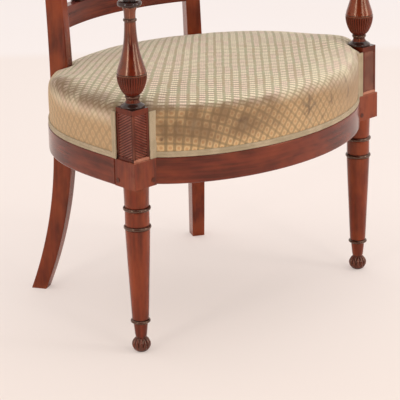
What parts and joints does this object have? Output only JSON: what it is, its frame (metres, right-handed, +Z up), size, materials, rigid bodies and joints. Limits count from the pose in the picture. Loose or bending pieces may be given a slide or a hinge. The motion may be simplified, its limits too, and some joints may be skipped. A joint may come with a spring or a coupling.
{
  "type": "lyre back armchair",
  "caption": "Open armchair with turned front posts, sabre rear legs, a round bowed stuffed seat and an open curved back that holds a lyre.",
  "frame": {"origin": "on the floor, under the centre of the chair's bounding box", "axes": "+X across the seat to the sitter's left as seen from the front on the right, -Y to the front, +Z up"},
  "size_m": [0.5726, 0.5134, 0.868],
  "materials": {
    "mahogany": "polished red-brown mahogany with open grain and worn edges",
    "ebonised": "dark stained and polished wood",
    "brass": "aged brass",
    "jute": "woven jute webbing",
    "sacking": "plain woven hessian",
    "cover": "worn cream and grey-green striped and checked weave",
    "braid": "pale flat woven braid"
  },
  "bodies": {
    "root": {"front_post_left": "mahogany", "front_post_right": "mahogany", "rear_post_left": "mahogany", "rear_post_right": "mahogany", "side_seat_rail_left": "mahogany", "side_seat_rail_right": "mahogany", "armrest_left": "mahogany", "armrest_right": "mahogany", "lyre_arm_left": "mahogany", "lyre_arm_right": "mahogany", "front_seat_rail": "mahogany", "rear_seat_rail": "mahogany", "lower_back_rail": "mahogany", "crest_rail": "mahogany", "lyre_base": "mahogany", "front_rail_peg_left": "ebonised", "front_rail_peg_right": "ebonised", "side_rail_peg_left": "ebonised", "side_rail_peg_right": "ebonised", "lyre_plinth": "ebonised", "lyre_yoke": "ebonised", "lyre_rosette_left": "brass", "lyre_rosette_right": "brass", "lyre_string_1": "brass", "lyre_string_2": "brass", "lyre_string_3": "brass", "lyre_string_4": "brass", "lyre_string_5": "brass", "webbing_along_1": "jute", "webbing_along_2": "jute", "webbing_along_3": "jute", "webbing_across_1": "jute", "webbing_across_2": "jute", "webbing_across_3": "jute", "seat_hessian": "sacking", "seat_cushion": "cover", "gimp_front": "braid", "gimp_side_left": "braid", "gimp_side_right": "braid", "gimp_rear": "braid"}
  },
  "joints": []
}
